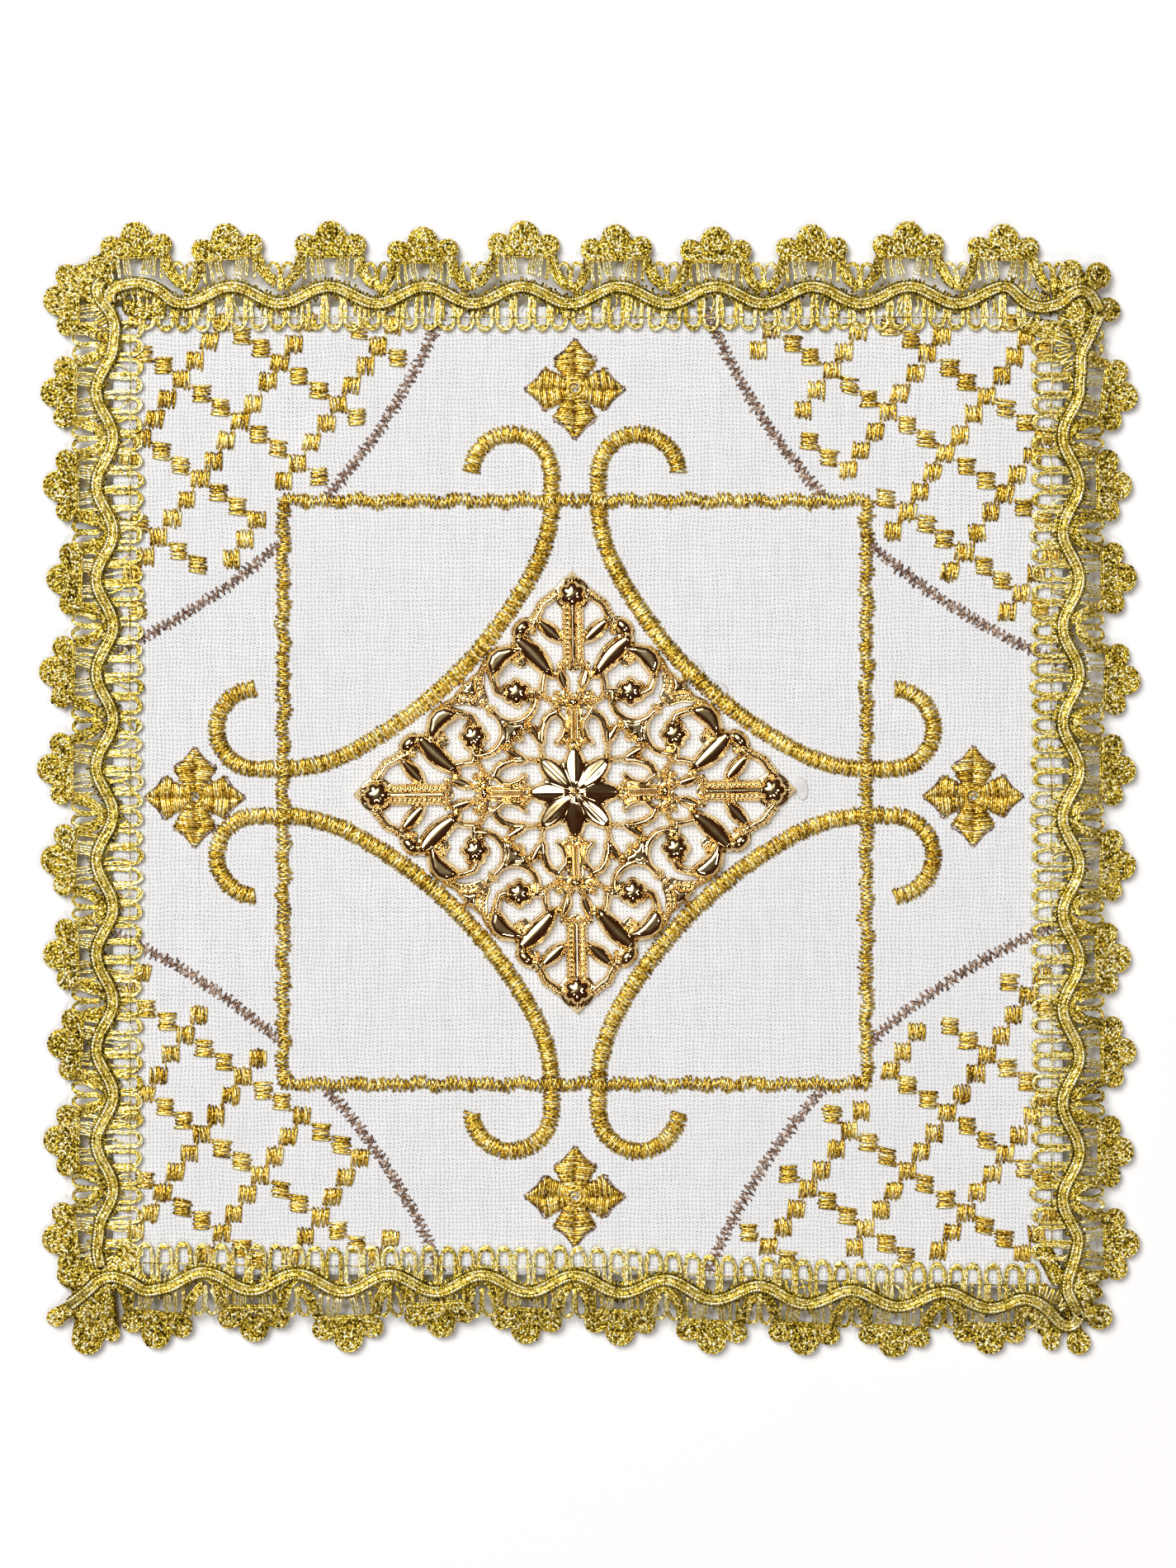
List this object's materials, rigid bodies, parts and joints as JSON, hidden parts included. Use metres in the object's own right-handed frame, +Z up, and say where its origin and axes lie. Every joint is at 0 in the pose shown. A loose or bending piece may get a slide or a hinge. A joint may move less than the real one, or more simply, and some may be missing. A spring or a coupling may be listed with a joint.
{
  "type": "chalice pall",
  "caption": "Stiff square of white linen that covers a chalice: gold embroidery, a gold crocheted lace edge, a gilt filigree medallion, and a board that slides out of the pocket.",
  "frame": {"origin": "under the middle of the pall, on the surface it lies on", "axes": "+Z up through the decorated face, +Y from the pocket's mouth to its closed edge, +X to the right"},
  "size_m": [0.1752, 0.179, 0.0044],
  "materials": {
    "linen": "plain weave, matte",
    "board": "matte",
    "seam_thread": "spun cotton thread",
    "embroidery_gold": "satin metallic thread",
    "bronze_thread": "metallic thread",
    "lace_gold": "crocheted metallic yarn",
    "gimp_gold": "twisted and satin metallic cord",
    "gilt_filigree": "bright gilt, polished",
    "glue": "dried clear glue"
  },
  "bodies": {
    "cover": {"linen_face": "linen", "linen_back": "linen", "hem_fold_west": "linen", "hem_fold_east": "linen", "hem_fold_north": "linen", "pocket_seam_thread": "seam_thread", "satin_square_frame": "embroidery_gold", "lace_sewing_thread": "lace_gold", "filigree_medallion": "gilt_filigree", "medallion_glue": "glue", "scroll_line_nw": "embroidery_gold", "lattice_nw": "embroidery_gold", "bronze_arc_nw": "bronze_thread", "scroll_line_ne": "embroidery_gold", "lattice_ne": "embroidery_gold", "bronze_arc_ne": "bronze_thread", "scroll_line_se": "embroidery_gold", "lattice_se": "embroidery_gold", "bronze_arc_se": "bronze_thread", "scroll_line_sw": "embroidery_gold", "lattice_sw": "embroidery_gold", "bronze_arc_sw": "bronze_thread", "cross_north": "embroidery_gold", "lace_north": "lace_gold", "gimp_braid_north": "gimp_gold", "cross_east": "embroidery_gold", "lace_east": "lace_gold", "gimp_braid_east": "gimp_gold", "cross_south": "embroidery_gold", "lace_south": "lace_gold", "gimp_braid_south": "gimp_gold", "cross_west": "embroidery_gold", "lace_west": "lace_gold", "gimp_braid_west": "gimp_gold"},
    "insert": {"stiffener_board": "board"}
  },
  "joints": [
    {"name": "insert_slide", "type": "slide", "parent": "cover", "child": "insert", "axis": [0, -1, 0], "range_m": [0, 0.165]}
  ]
}
